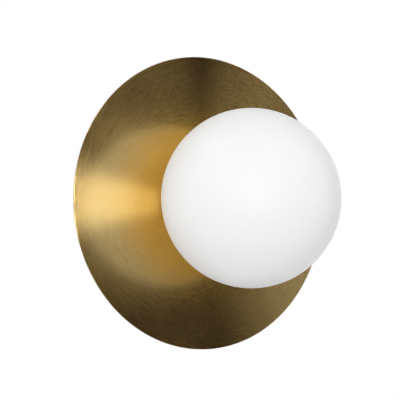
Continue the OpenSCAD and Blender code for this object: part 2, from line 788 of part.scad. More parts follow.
// White plastic housing between the bulb's cap and its dome
module bulb_housing() {
    belly_r = housing_foot_r + 2.2;
    belly_z = housing_back + 0.35 * housing_l;
    color("#ecece8") turned([
        [spigot_r - housing_t, housing_back - 4], [spigot_r, housing_back - 4],
        [spigot_r, housing_back], [housing_foot_r, housing_back],
        [housing_foot_r + 0.6, housing_back + 1], [belly_r, belly_z], [rim_r, housing_front - 1],
        [rim_r, housing_front], [board_r + 0.1, housing_front],
        [board_r + 0.1, housing_front - board_t], [board_r - 2, housing_front - board_t],
        [belly_r - housing_t - 0.6, belly_z + 1], [spigot_r - housing_t, housing_back + 2]]);
}

// Aluminium board that carries the chips
module bulb_led_board() {
    color("#dfe2e4") ring(board_r, 2.5, board_front - board_t, board_front);
}

// Light-emitting chips
module bulb_leds() {
    color("#f2e27a") on_wall() for (i = [0 : led_count - 1]) rotate([0, 0, 360 * i / led_count])
        translate([led_ring_r - led_w / 2, -led_w / 2, board_front]) cube([led_w, led_w, led_h]);
}

// Driver board with its capacitor, coil and two leads
module bulb_driver() {
    board_w = 2 * (spigot_r - housing_t) - 1.4;
    z0 = housing_back - driver_tail;
    z1 = housing_back + driver_reach;
    sunk = driver_t / 8;
    color("#4f8a5b") on_wall() union() {
        translate([-board_w / 2, -driver_t / 2, z0]) cube([board_w, driver_t, z1 - z0]);
        translate([-capacitor_d / 4, (driver_t + capacitor_d) / 2 - sunk, z0 + capacitor_l / 4])
            cylinder(d = capacitor_d, h = capacitor_l, $fn = 48);
        translate([-coil_w / 2, -coil_h - driver_t / 2 + sunk, z0 + driver_tail / 2])
            cube([coil_w, coil_h, coil_w]);
        for (s = [-1, 1]) translate([s * lead_x, 0, z1 - driver_t / 2])
            cylinder(d = lead_d, h = board_front - board_t - z1 + driver_t / 2, $fn = 24);
    }
}

// Threaded metal cap of the bulb
module bulb_screw_cap() {
    r_high = cap_d / 2;
    r_low = r_high - cap_thread;
    turns = floor((housing_back - 3 - screw_cap_back) / cap_pitch);
    thread = ring_thread(r_low, r_high, screw_cap_back + 2.2, cap_pitch, turns);
    thread_end = screw_cap_back + 2.2 + turns * cap_pitch;
    color("#c9cbcd") turned(concat(
        [[cap_mouth_r, screw_cap_back], [r_low - 0.6, screw_cap_back + 0.8]],
        [[r_low, screw_cap_back + 2]],
        thread,
        [[r_low, max(housing_back, thread_end + 0.1)]],
        [[r_low - cap_sheet, max(housing_back, thread_end + 0.1)]],
        [for (i = [len(thread) - 1 : -1 : 0]) thread[i] - [cap_sheet, 0]],
        [[r_low - cap_sheet, screw_cap_back + 2], [r_low - 1, screw_cap_back + 1.2]],
        [[cap_mouth_r, screw_cap_back + bevel]]));
}

// Black insulator between the cap and the tip
module bulb_cap_insulator() {
    foot = bulb_back + contact_h;
    color("#2b2b2d") turned([
        [0, foot], [contact_r + bevel, foot], [cap_mouth_r - 2 * slip, screw_cap_back - slip],
        [cap_mouth_r, screw_cap_back], [cap_mouth_r, screw_cap_back + bevel],
        [cap_mouth_r - 1, screw_cap_back + 1], [0, screw_cap_back + 1]]);
}

// Soldered contact at the bulb's tip
module bulb_tip_contact() {
    color("#c3c5c8") turned([
        [0, bulb_back], [contact_r - 2, bulb_back], [contact_r - 0.4, bulb_back + 0.5],
        [contact_r, bulb_back + contact_h], [0, bulb_back + contact_h]]);
}

wall_strap();
strap_back_nut();
strap_lock_washer();
strap_front_nut();
centre_rod();
earth_screw();
earth_washer();
earth_ring_tag();
back_pan();
terminal_block();
terminal_tubes();
terminal_screws();
block_fixing_screws();
live_wire();
neutral_wire();
earth_wire();
disc();
globe_cup();
cup_washer();
cup_nut();
globe_gasket();
holder_cap();
holder_grub_screw();
holder_insert();
holder_terminals();
holder_terminal_screws();
contact_rivets();
centre_contact();
screw_shell();
holder_sleeve();
globe();
globe_collar();
bulb_diffuser();
bulb_housing();
bulb_led_board();
bulb_leds();
bulb_driver();
bulb_screw_cap();
bulb_cap_insulator();
bulb_tip_contact();
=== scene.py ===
# %% [markdown]
# # Globe wall light
# A blown opal globe stands on the middle of a round brass plate that is brushed in circles.
# Behind the plate a spun pan closes on the wall and hides a strap, the wiring and the terminal block.
# Inside the globe there is a lampholder with its bulb.
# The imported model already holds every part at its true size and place. This notebook gives the parts their
# looks: it makes the plate, the globe and the wires again as smooth surfaces, and finishes every other part
# where it is.

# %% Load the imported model
import json
import math
import bpy
import numpy as np
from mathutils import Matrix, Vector


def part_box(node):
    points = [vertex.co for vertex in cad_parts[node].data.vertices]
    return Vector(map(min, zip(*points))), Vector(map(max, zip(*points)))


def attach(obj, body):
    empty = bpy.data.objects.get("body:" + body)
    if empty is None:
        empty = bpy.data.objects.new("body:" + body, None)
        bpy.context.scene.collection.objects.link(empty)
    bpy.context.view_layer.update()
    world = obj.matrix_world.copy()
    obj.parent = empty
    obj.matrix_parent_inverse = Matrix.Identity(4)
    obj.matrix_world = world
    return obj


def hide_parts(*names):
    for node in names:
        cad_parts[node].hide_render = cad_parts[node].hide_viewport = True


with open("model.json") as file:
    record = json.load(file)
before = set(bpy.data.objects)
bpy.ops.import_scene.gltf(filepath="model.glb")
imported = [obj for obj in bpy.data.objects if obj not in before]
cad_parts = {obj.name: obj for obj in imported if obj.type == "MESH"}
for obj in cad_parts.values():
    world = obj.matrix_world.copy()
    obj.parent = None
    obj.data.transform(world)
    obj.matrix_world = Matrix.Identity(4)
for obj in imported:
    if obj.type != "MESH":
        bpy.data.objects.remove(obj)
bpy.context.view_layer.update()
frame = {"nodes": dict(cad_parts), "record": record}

# %% [markdown]
# ## Camera
# The photograph was taken from the left and a little from below, with a long lens: the plate shows as an
# ellipse 0.85 as wide as it is high, and the globe covers its right half. Azimuth 0 looks straight at the
# plate from the room, and a negative azimuth stands further to the left.
# The lens shift moves the picture without turning the camera, as cropping a print does.

# %% Camera
def towards(azimuth, elevation):
    """Unit vector from the light towards azimuth and elevation, in degrees."""
    sideways, upwards = math.radians(azimuth), math.radians(elevation)
    level = math.cos(upwards)
    return Vector((math.sin(sideways) * level, -math.cos(sideways) * level, math.sin(upwards)))


AIM = Vector((0.0, -0.034, 0.0))  # middle of the plate's front face
CAMERA_AZIMUTH, CAMERA_ELEVATION = -32.22, -3.46
CAMERA_DISTANCE = 1.4
PICTURE = 400  # width and height in pixels of the picture that the next two values belong to
FOCAL_PIXELS = 1168.9  # focal length
AIM_PIXEL = (206.3, 202.4)  # where the middle of the plate lands

camera = bpy.data.objects.new("camera", bpy.data.cameras.new("camera"))
bpy.context.scene.collection.objects.link(camera)
to_camera = towards(CAMERA_AZIMUTH, CAMERA_ELEVATION)
camera.location = AIM + to_camera * CAMERA_DISTANCE
camera.rotation_euler = (-to_camera).to_track_quat("-Z", "Y").to_euler()
camera.data.lens = FOCAL_PIXELS / PICTURE * camera.data.sensor_width
camera.data.shift_x = (PICTURE / 2 - AIM_PIXEL[0]) / PICTURE
camera.data.shift_y = (AIM_PIXEL[1] - PICTURE / 2) / PICTURE
bpy.context.scene.camera = camera
print("lens", round(camera.data.lens, 1), "mm at", [round(c, 3) for c in camera.location])

# %% [markdown]
# ## One function for every turned shape
# The plate and the globe are both round about the axis that stands out of the wall, so one function makes
# them: a profile, drawn as radius against distance from the wall, is carried once around the axis.
# Where the profile touches the axis, the ring shrinks to a single point, so that the pole is closed.
# The UV map follows the turning: U runs round the axis, and V runs along the profile.

# %% Carry a profile round the axis
TURNED_CORNER = 35  # an edge that bends by more degrees than this looks sharp


def turned(name, profile, around):
    """Surface of revolution about the light's axis.
    point(angle, step) = (radius * cos(angle), -distance, radius * sin(angle)), where radius and distance are
    the profile's. U = angle / full turn, V = length along the profile / its whole length.
    Walking along the profile, the outside is on the right hand when the axis points away from the wall."""
    radius, distance = profile[:, 0], profile[:, 1]
    pole = radius < 1e-9
    start = np.concatenate([[0], np.cumsum(np.where(pole, 1, around))])[:-1]
    turn = np.arange(around)
    angle = 2 * np.pi * turn / around
    rings = np.stack([radius[:, None] * np.cos(angle), -distance[:, None] + 0 * angle,
                      radius[:, None] * np.sin(angle)], axis=-1)
    keep = ~pole[:, None] | (turn == 0)[None, :]
    points = rings[keep]
    index = start[:, None] + np.where(pole[:, None], 0, turn[None, :])
    index = np.concatenate([index, index[:, :1]], axis=1)
    length = np.concatenate([[0], np.cumsum(np.hypot(np.diff(radius), np.diff(distance)))])
    v = (length / length[-1])[:, None] + np.zeros(around + 1)
    u = np.zeros(len(radius))[:, None] + np.arange(around + 1) / around
    corners = [(slice(0, -1), slice(0, -1)), (slice(1, None), slice(0, -1)),
               (slice(1, None), slice(1, None)), (slice(0, -1), slice(1, None))]
    faces = np.stack([index[corner] for corner in corners], axis=-1).reshape(-1, 4)
    uv = [np.stack([u[corner], v[corner]], axis=-1) for corner in corners]
    uv = np.stack(uv, axis=-2).reshape(-1, 4, 2)
    # beside a pole two of the four corners are one point, and the face becomes a triangle
    first, last = faces[:, 0] == faces[:, 3], faces[:, 1] == faces[:, 2]
    whole = ~(first | last)
    loops = [faces[whole], faces[first][:, :3], faces[last][:, [0, 1, 3]]]
    maps = [uv[whole], uv[first][:, :3], uv[last][:, [0, 1, 3]]]
    mesh = bpy.data.meshes.new(name)
    mesh.from_pydata(points.tolist(), [], [face for part in loops for face in part.tolist()])
    layer = mesh.uv_layers.new(name="turning")
    layer.data.foreach_set("uv", np.concatenate([part.reshape(-1) for part in maps]).astype(np.float32))
    mesh.shade_smooth()
    mesh.set_sharp_from_angle(angle=math.radians(TURNED_CORNER))
    mesh.validate()
    piece = bpy.data.objects.new(name, mesh)
    bpy.context.scene.collection.objects.link(piece)
    print(name, len(mesh.vertices), "points,", len(mesh.polygons), "faces")
    return piece


def arc(centre, size, begin, end, steps):
    """Points of a circle's arc: centre + size * (cos(angle), sin(angle)), for angles from begin to end in
    degrees."""
    angle = np.radians(np.linspace(begin, end, steps))
    return np.stack([centre[0] + size * np.cos(angle), centre[1] + size * np.sin(angle)], axis=1)


# %% [markdown]
# ## The plate
# On the real light the plate is a 2 mm brass disc, turned flat, with its sharp corners just broken, and
# brushed while it spins. Its brushing is what makes the bright fan and the dark lobes in the photograph, so
# the surface needs an exact direction of the lines at each point. The UV map of the turned surface gives it.

# %% Plate
MM = 0.001
PLATE_RADIUS = 175 * MM
PLATE_HOLE = 45.8 * MM
PLATE_BACK, PLATE_FRONT = 32 * MM, 34 * MM
BROKEN_EDGE = 0.6 * MM
LAST_RING = 0.4 * MM  # from the last ring of the face to its rounded edge
FACE_RINGS, EDGE_STEPS, PLATE_AROUND = 36, 8, 400

flat = PLATE_RADIUS - BROKEN_EDGE
rings = np.append(np.linspace(PLATE_HOLE, flat - LAST_RING, FACE_RINGS), flat)
front = np.stack([rings, np.full(len(rings), PLATE_FRONT)], axis=1)
plate_profile = np.concatenate([
    front,
    arc((flat, PLATE_FRONT - BROKEN_EDGE), BROKEN_EDGE, 90, 0, EDGE_STEPS)[1:],
    arc((flat, PLATE_BACK + BROKEN_EDGE), BROKEN_EDGE, 0, -90, EDGE_STEPS),
    front[::-1][1:] - (0, PLATE_FRONT - PLATE_BACK),
    front[:1],
])
plate = turned("plate", plate_profile, PLATE_AROUND)
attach(plate, "fixture")
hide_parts("disc")

# %% [markdown]
# ## The globe
# The globe is blown opal glass, 203 mm wide, with a 3 mm wall and a short straight neck. The neck sits in the
# cup behind the plate, so that the ball seems to rest on the brass. Light enters the wall and comes out again
# a few millimetres away, so the wall is modelled with both of its sides, and not as a thin skin.

# %% Globe
GLOBE_RADIUS = 101.5 * MM
GLASS = 3 * MM
NECK_RADIUS = 40 * MM
NECK_END, NECK_FRONT = 21.3 * MM, 35.6 * MM  # distances from the wall
GLOBE_CENTRE = NECK_FRONT + math.sqrt(GLOBE_RADIUS ** 2 - NECK_RADIUS ** 2)
OUTSIDE_STEPS, INSIDE_STEPS, LIP_STEPS, GLOBE_AROUND = 120, 80, 9, 256


def ball(size, neck, steps):
    """The ball's outline from its front pole to the place where it meets a neck of that radius."""
    end = -math.degrees(math.acos(neck / size))
    points = arc((0, GLOBE_CENTRE), size, 90, end, steps)
    points[0, 0] = 0
    return points


outside = ball(GLOBE_RADIUS, NECK_RADIUS, OUTSIDE_STEPS)
inside = ball(GLOBE_RADIUS - GLASS, NECK_RADIUS - GLASS, INSIDE_STEPS)
lip = arc((NECK_RADIUS - GLASS / 2, NECK_END + GLASS / 2), GLASS / 2, 0, -180, LIP_STEPS)
globe_glass = turned("globe_glass", np.concatenate([outside, lip, inside[::-1]]), GLOBE_AROUND)
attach(globe_glass, "globe")
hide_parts("globe")

# %% [markdown]
# ## The wires
# Three wires leave the terminal block behind the plate. Two of them bend down into the hollow rod and run
# on to the lampholder, and the earth wire ends in a tag on the strap. Insulated wire has no corners, so its
# route is rounded first: cutting every corner at a quarter and three quarters, again and again, turns a line
# of straight pieces into a smooth curve that stays inside the corners. A ring is then carried along it.

# %% Carry a ring along a route
TIMES_CUT = 4
WIRE_CORNER = 50  # only the wire's cut ends bend by more degrees than this
CAP_UV = 0.1  # the cut ends take the colour of this one place


def rounded(points, times):
    """Cut the corners of a route, times over: new points at 1/4 and 3/4 of each piece, and the ends kept."""
    for _ in range(times):
        first, second = points[:-1], points[1:]
        cut = np.stack([0.75 * first + 0.25 * second, 0.25 * first + 0.75 * second], axis=1).reshape(-1, 3)
        points = np.concatenate([points[:1], cut, points[-1:]])
    return points


def wire(name, route, thickness, lean, sides=16):
    """A round wire along a route given as rows of (right, up, distance from the wall) in millimetres.
    point(angle, step) = route + thickness / 2 * (cos(angle) * side + sin(angle) * top), where side stands
    square to the route and to the direction lean, and top square to the route and to side. The ends are
    closed flat."""
    corners = np.array(route, float)
    path = np.concatenate([corners[:1], rounded(corners[1:-1], TIMES_CUT), corners[-1:]]) * MM
    path = np.stack([path[:, 0], -path[:, 2], path[:, 1]], axis=1)
    along = np.gradient(path, axis=0)
    along /= np.linalg.norm(along, axis=1)[:, None]
    side = np.cross(along, (lean[0], -lean[2], lean[1]))
    side /= np.linalg.norm(side, axis=1)[:, None]
    top = np.cross(along, side)
    angle = 2 * np.pi * np.arange(sides) / sides
    ring = np.cos(angle)[None, :, None] * side[:, None] + np.sin(angle)[None, :, None] * top[:, None]
    points = (path[:, None] + thickness / 2 * ring).reshape(-1, 3)
    step, turn = np.meshgrid(np.arange(len(path) - 1), np.arange(sides), indexing="ij")
    here, after = step * sides + turn, step * sides + (turn + 1) % sides
    faces = np.stack([here, after, after + sides, here + sides], axis=-1).reshape(-1, 4)
    caps = [list(range(sides))[::-1], list(range(len(points) - sides, len(points)))]
    length = np.concatenate([[0], np.cumsum(np.linalg.norm(np.diff(path, axis=0), axis=1))])
    u0, u1 = turn / sides, (turn + 1) / sides
    v0, v1 = length[step], length[step + 1]
    uv = np.stack([u0, v0, u1, v0, u1, v1, u0, v1], axis=-1).reshape(-1)
    cap_uv = np.full(4 * sides, CAP_UV)
    mesh = bpy.data.meshes.new(name)
    mesh.from_pydata(points.tolist(), [], faces.tolist() + caps)
    layer = mesh.uv_layers.new(name="along")
    layer.data.foreach_set("uv", np.concatenate([uv, cap_uv]).astype(np.float32))
    mesh.shade_smooth()
    mesh.set_sharp_from_angle(angle=math.radians(WIRE_CORNER))
    piece = bpy.data.objects.new(name, mesh)
    bpy.context.scene.collection.objects.link(piece)
    print(name, "is", round(1000 * length[-1]), "mm long")
    return piece


# %% Wires
WIRE = 2.2 * MM  # over the insulation
LEAN = (1, -1, 0)  # right, up, distance from the wall: no wire runs this way
THROUGH_ROD = [(0, 7.5), (0, 14), (0, 22), (0, 30)]  # up, distance
ROUTES = {
    "live_lead": [(-8, 51.3, 26.3), (-12, 51.3, 26.3), (-19, 50.3, 22.3), (-22, 46, 11), (-16, 33, 5.5),
                  (-6, 18, 3.8), (0, 8, 3.2), (1.3, 2.5, 3.8), *[(1.3, *p) for p in THROUGH_ROD],
                  (4, 0, 32.5), (9.4, 0, 34.4), (10, 0, 36), (10, 0, 37)],
    "neutral_lead": [(-8, 59.3, 26.3), (-13, 59.3, 26.3), (-24, 56.3, 22.3), (-30, 47, 10), (-22, 33, 5),
                     (-11, 18, 3.6), (-4, 8, 3.2), (-1.3, 2.5, 3.8), *[(-1.3, *p) for p in THROUGH_ROD],
                     (-3, 0, 32.5), (-6.4, 0, 34), (-7, 0, 36), (-7, 0, 37)],
    "earth_lead": [(-8, 67.3, 26.3), (-14, 67.3, 26.3), (-30, 62.3, 22.3), (-40, 46, 16), (-40, 30, 9),
                   (-34, 16, 9), (-28, 6, 12.5), (-23, 0, 14.4), (-20, 0, 14.4)],
}
leads = {}
for name, node, slot in (("live_lead", "live_wire", "brown_insulation"),
                         ("neutral_lead", "neutral_wire", "blue_insulation"),
                         ("earth_lead", "earth_wire", "green_insulation")):
    leads[name] = wire(name, ROUTES[name], WIRE, LEAN)
    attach(leads[name], "fixture")
    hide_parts(node)
    low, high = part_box(node)
    box = np.array(leads[name].bound_box)
    low_moved, high_moved = 1000 * (box.min(0) - low), 1000 * (box.max(0) - high)
    print("   its box is off the packed wire's by", low_moved.round(2), high_moved.round(2), "mm")

# %% [markdown]
# ## Small helpers for materials
# A material is a tree of nodes. `put` adds one node and sets or links its inputs in one go, which keeps the
# trees short enough to read. `fill` does the same to a node that is there, and `blend` mixes two colours.

# %% Node helpers
def fill(tree, node, inputs):
    """Set each of these inputs to a value, or link it to another node's output."""
    for name, value in inputs.items():
        if isinstance(value, bpy.types.NodeSocket):
            tree.links.new(value, node.inputs[name])
        else:
            node.inputs[name].default_value = value


def put(tree, kind, inputs=None, **settings):
    """Add a node with its settings, then fill its inputs."""
    node = tree.nodes.new(kind)
    for name, value in settings.items():
        setattr(node, name, value)
    fill(tree, node, inputs or {})
    return node


MIX_SHARE, MIX_FIRST, MIX_SECOND = 0, 6, 7  # a Mix node's inputs when it mixes colours
MIXED = 2  # and its output then


def blend(tree, share, first, second):
    """The colour at a share of the way from first to second, each red, green and blue or a node's output."""
    inputs = {MIX_SHARE: share}
    for place, colour in ((MIX_FIRST, first), (MIX_SECOND, second)):
        inputs[place] = colour if isinstance(colour, bpy.types.NodeSocket) else (*colour, 1)
    return put(tree, "ShaderNodeMix", inputs, data_type="RGBA").outputs[MIXED]


def new_group(name, inputs, outputs):
    """Start a shared node group. inputs are (label, socket type, value) rows, and outputs are
    (label, socket type) rows."""
    tree = bpy.data.node_groups.new(name, "ShaderNodeTree")
    for label, kind, value in inputs:
        socket = tree.interface.new_socket(name=label, in_out="INPUT", socket_type=kind)
        socket.default_value = value
    for label, kind in outputs:
        tree.interface.new_socket(name=label, in_out="OUTPUT", socket_type=kind)
    return tree, tree.nodes.new("NodeGroupInput"), tree.nodes.new("NodeGroupOutput")


def new_material(name):
    """An empty material with its output and Principled shader."""
    material = bpy.data.materials.new(name)
    material.use_nodes = True
    tree = material.node_tree
    tree.nodes.clear()
    shader = tree.nodes.new("ShaderNodeBsdfPrincipled")
    out = tree.nodes.new("ShaderNodeOutputMaterial")
    tree.links.new(shader.outputs["BSDF"], out.inputs["Surface"])
    return material, tree, shader


# %% [markdown]
# ## Shared effects
# Two effects turn up on many parts, so each is built once as a node group.
# *Turned lines* are the fine circles that a brush, a lathe or a spinning tool leaves round the light's axis.
# The pattern is noise that changes quickly from one radius to the next and slowly along the circle. It
# changes as quickly along the axis, so that the side of a tube gets lines too.
# *Soft clouds* are the slow change in tone that handling, lacquer and moulding leave on any real surface.

# %% Turned lines
LINES_LOW, LINES_HIGH = 0.43, 0.52  # noise under the first makes no line, and over the second a full one
lines, line_in, line_out = new_group(
    "turned_lines",
    [("Vector", "NodeSocketVector", (0, 0, 0)), ("Line Width", "NodeSocketFloat", 0.0004),
     ("Arcs", "NodeSocketFloat", 5.0)],
    [("Lines", "NodeSocketFloat")])
place = put(lines, "ShaderNodeSeparateXYZ", {0: line_in.outputs["Vector"]})
flat_place = put(lines, "ShaderNodeCombineXYZ", {"X": place.outputs["X"], "Z": place.outputs["Z"]})
away = put(lines, "ShaderNodeVectorMath", {0: flat_place.outputs[0]}, operation="LENGTH")
heading = put(lines, "ShaderNodeVectorMath", {0: flat_place.outputs[0]}, operation="NORMALIZE")
slow = put(lines, "ShaderNodeVectorMath", {0: heading.outputs[0], "Scale": line_in.outputs["Arcs"]},
           operation="SCALE")
across = put(lines, "ShaderNodeMath", {0: away.outputs["Value"], 1: place.outputs["Y"]},
             operation="SUBTRACT")
count = put(lines, "ShaderNodeMath", {0: across.outputs[0], 1: line_in.outputs["Line Width"]},
            operation="DIVIDE")
fast = put(lines, "ShaderNodeCombineXYZ", {"Y": count.outputs[0]})
where = put(lines, "ShaderNodeVectorMath", {0: slow.outputs[0], 1: fast.outputs[0]}, operation="ADD")
noise = put(lines, "ShaderNodeTexNoise", {"Vector": where.outputs[0], "Scale": 1.0, "Detail": 2.0,
                                          "Roughness": 0.6})
even = put(lines, "ShaderNodeMapRange", {"Value": noise.outputs["Fac"], "From Min": LINES_LOW,
                                         "From Max": LINES_HIGH})
lines.links.new(even.outputs["Result"], line_out.inputs["Lines"])
print("turned lines:", len(lines.nodes), "nodes")

# %% Soft clouds
CLOUDS_LOW, CLOUDS_HIGH = 0.3, 0.7
clouds, cloud_in, cloud_out = new_group(
    "soft_clouds",
    [("Vector", "NodeSocketVector", (0, 0, 0)), ("Size", "NodeSocketFloat", 0.03),
     ("Detail", "NodeSocketFloat", 3.0)],
    [("Tone", "NodeSocketFloat")])
per_size = put(clouds, "ShaderNodeMath", {0: 1.0, 1: cloud_in.outputs["Size"]}, operation="DIVIDE")
drift = put(clouds, "ShaderNodeTexNoise", {"Vector": cloud_in.outputs["Vector"], "Scale": per_size.outputs[0],
                                           "Detail": cloud_in.outputs["Detail"], "Roughness": 0.55})
spread = put(clouds, "ShaderNodeMapRange", {"Value": drift.outputs["Fac"], "From Min": CLOUDS_LOW,
                                            "From Max": CLOUDS_HIGH})
clouds.links.new(spread.outputs["Result"], cloud_out.inputs["Tone"])
print("soft clouds:", len(clouds.nodes), "nodes")

# %% [markdown]
# ## Brushed brass of the plate
# A circular brush cuts fine grooves along circles. Light spreads widely across grooves and hardly along
# them, which is an anisotropic reflection: the wide direction is set a quarter turn from the lines.
# Real brushing is not even: shallow strokes stay fairly smooth and still mirror the globe, and deep ones
# spread light far. So the roughness changes from one fine stroke to the next.
# All strokes are painted paler the further out they lie. This paleness is a painted highlight: it copies the
# washed-out look of the bright fan near the rim in the brass colour. The shallow strokes, which carry the fan
# and mirror the globe, show this most, and the deep ones keep much of the deep colour of the brass.

# %% Brushed brass
SMOOTH_STROKE, DEEP_STROKE = 0.10, 0.345  # roughness
# the outer colours are paler than the inner ones: a painted highlight that copies the washed-out bright fan
# near the rim
INNER_DEEP, OUTER_DEEP_HIGHLIGHT = (0.79, 0.515, 0.13), (0.79, 0.55, 0.205)
INNER_SHALLOW, OUTER_SHALLOW_HIGHLIGHT = (0.79, 0.455, 0.07), (0.79, 0.69, 0.37)
HIGHLIGHT_PALE_FROM, HIGHLIGHT_PALE_TO = 92 * MM, 134 * MM  # distances from the light's middle at the wall
STROKE_WIDTH, STROKE_ARCS = 0.03 * MM, 9.0
DEEP_FROM, DEEP_TO = 0.05, 0.3  # of the lines, between shallow and deep colour
WORN_BRASS, WORN_SHARE, WORN_SIZE = (0.69, 0.44, 0.11), 0.15, 60 * MM
QUARTER_TURN = 0.25
brushed_brass, tree, shader = new_material("brushed_brass")
coords = put(tree, "ShaderNodeTexCoord")
strokes = put(tree, "ShaderNodeGroup", {"Vector": coords.outputs["Object"], "Line Width": STROKE_WIDTH,
                                        "Arcs": STROKE_ARCS}, node_tree=lines)
tone = put(tree, "ShaderNodeGroup", {"Vector": coords.outputs["Object"], "Size": WORN_SIZE}, node_tree=clouds)
from_middle = put(tree, "ShaderNodeVectorMath", {0: coords.outputs["Object"]}, operation="LENGTH")
# painted highlight: the brass colour turns paler between these two distances from the middle
painted_fan_paleness = put(tree, "ShaderNodeMapRange", {"Value": from_middle.outputs["Value"], "From Min": HIGHLIGHT_PALE_FROM,
                                            "From Max": HIGHLIGHT_PALE_TO})
shallow = blend(tree, painted_fan_paleness.outputs["Result"], INNER_SHALLOW, OUTER_SHALLOW_HIGHLIGHT)
deep = blend(tree, painted_fan_paleness.outputs["Result"], INNER_DEEP, OUTER_DEEP_HIGHLIGHT)
is_deep = put(tree, "ShaderNodeMapRange", {"Value": strokes.outputs["Lines"], "From Min": DEEP_FROM,
                                           "From Max": DEEP_TO})
stroke_colour = blend(tree, is_deep.outputs["Result"], shallow, deep)
worn = put(tree, "ShaderNodeMath", {0: tone.outputs["Tone"], 1: WORN_SHARE}, operation="MULTIPLY")
rough = put(tree, "ShaderNodeMapRange", {"Value": strokes.outputs["Lines"], "To Min": SMOOTH_STROKE,
                                         "To Max": DEEP_STROKE})
line_way = put(tree, "ShaderNodeTangent", direction_type="UV_MAP", uv_map="turning")
fill(tree, shader, {
    "Base Color": blend(tree, worn.outputs[0], stroke_colour, WORN_BRASS),
    "Roughness": rough.outputs["Result"],
    "Metallic": 1.0,
    "Anisotropic": 1.0,
    "Anisotropic Rotation": QUARTER_TURN,
    "Tangent": line_way.outputs["Tangent"],
})
plate.data.materials.append(brushed_brass)
print("plate finish:", len(tree.nodes), "nodes")

# %% [markdown]
# ## Opal glass
# Opal glass is white right through, and its surface has been etched to a satin. It is nearly matt, with a
# broad weak sheen, and light scatters a few millimetres inside the wall, which softens the shading.
# Part of the light goes right through the wall, bounces about inside the globe and comes out again evenly on
# every side. A small even glow stands in for it.

# %% Opal glass
INNER_GLOW = 0.21
OPAL_PALE, OPAL_DULL = (0.93, 0.93, 0.93), (0.915, 0.915, 0.915)
OPAL_SMOOTH, OPAL_ROUGH = 0.48, 0.56
OPAL_CLOUDS = 45 * MM
ETCH_GRAINS = 2500.0  # a metre
ETCH_DEPTH = 0.02 * MM
SCATTER = 3 * MM  # how far light spreads in the glass
opal_glass, tree, shader = new_material("etched_opal_glass")
coords = put(tree, "ShaderNodeTexCoord")
tone = put(tree, "ShaderNodeGroup", {"Vector": coords.outputs["Object"], "Size": OPAL_CLOUDS},
           node_tree=clouds)
etch = put(tree, "ShaderNodeTexNoise", {"Vector": coords.outputs["Object"], "Scale": ETCH_GRAINS,
                                        "Detail": 2.0})
satin = put(tree, "ShaderNodeMapRange", {"Value": tone.outputs["Tone"], "To Min": OPAL_SMOOTH,
                                         "To Max": OPAL_ROUGH})
bump = put(tree, "ShaderNodeBump", {"Strength": 0.05, "Distance": ETCH_DEPTH, "Height": etch.outputs["Fac"]})
fill(tree, shader, {
    "Base Color": blend(tree, tone.outputs["Tone"], OPAL_PALE, OPAL_DULL),
    "Roughness": satin.outputs["Result"],
    "Normal": bump.outputs["Normal"],
    "Subsurface Weight": 0.3,
    "Subsurface Radius": (1.0, 0.95, 0.9),
    "Subsurface Scale": SCATTER,
    "Emission Color": (1, 1, 1, 1),
    "Emission Strength": INNER_GLOW,
})
globe_glass.data.materials.append(opal_glass)
print("globe finish:", len(tree.nodes), "nodes")

# %% [markdown]
# ## Finishes of the other parts
# Each remaining part keeps its shape and gets the finish of what it is made of. They differ in colour,
# roughness and grain, so one function builds them all: a fine grain, stretched along the way the part was
# turned, rolled or drawn, and the soft clouds over it.

# %% One function for the plain finishes
SOFT_SCATTER = 2 * MM  # how far light spreads in the soft plastics
INSULATION_ROUGH, INSULATION_CLOUDS = (0.35, 0.48), 5


def finish(name, light, dark, rough, metallic=0.0, turned_width=None, grain=(2000, 2000, 2000), dent=0.02,
           clouds_size=20, coat=0.0, soft=0.0):
    """A finish between two colours and two roughnesses. With turned_width (mm) the grain is turned lines,
    otherwise it is noise of that many grains a metre along each axis. dent is the bump's depth and
    clouds_size the width of a cloud, both in mm."""
    material, tree, shader = new_material(name)
    coords = put(tree, "ShaderNodeTexCoord")
    tone = put(tree, "ShaderNodeGroup", {"Vector": coords.outputs["Object"], "Size": clouds_size * MM},
               node_tree=clouds)
    if turned_width:
        fine = put(tree, "ShaderNodeGroup", {"Vector": coords.outputs["Object"],
                                             "Line Width": turned_width * MM}, node_tree=lines)
        grain_value = fine.outputs["Lines"]
    else:
        stretch = put(tree, "ShaderNodeMapping", {"Vector": coords.outputs["Object"], "Scale": grain})
        fine = put(tree, "ShaderNodeTexNoise", {"Vector": stretch.outputs[0], "Scale": 1.0, "Detail": 3.0})
        grain_value = fine.outputs["Fac"]
    both = put(tree, "ShaderNodeMix", {"Factor": 0.5, "A": tone.outputs["Tone"], "B": grain_value})
    satin = put(tree, "ShaderNodeMapRange", {"Value": both.outputs[0], "To Min": rough[0],
                                             "To Max": rough[1]})
    bump = put(tree, "ShaderNodeBump", {"Strength": 0.6, "Distance": dent * MM, "Height": grain_value})
    fill(tree, shader, {
        "Base Color": blend(tree, both.outputs[0], light, dark),
        "Roughness": satin.outputs["Result"],
        "Normal": bump.outputs["Normal"],
        "Metallic": metallic,
        "Coat Weight": coat,
    })
    if soft:
        fill(tree, shader, {"Subsurface Weight": soft, "Subsurface Scale": SOFT_SCATTER})
    return material


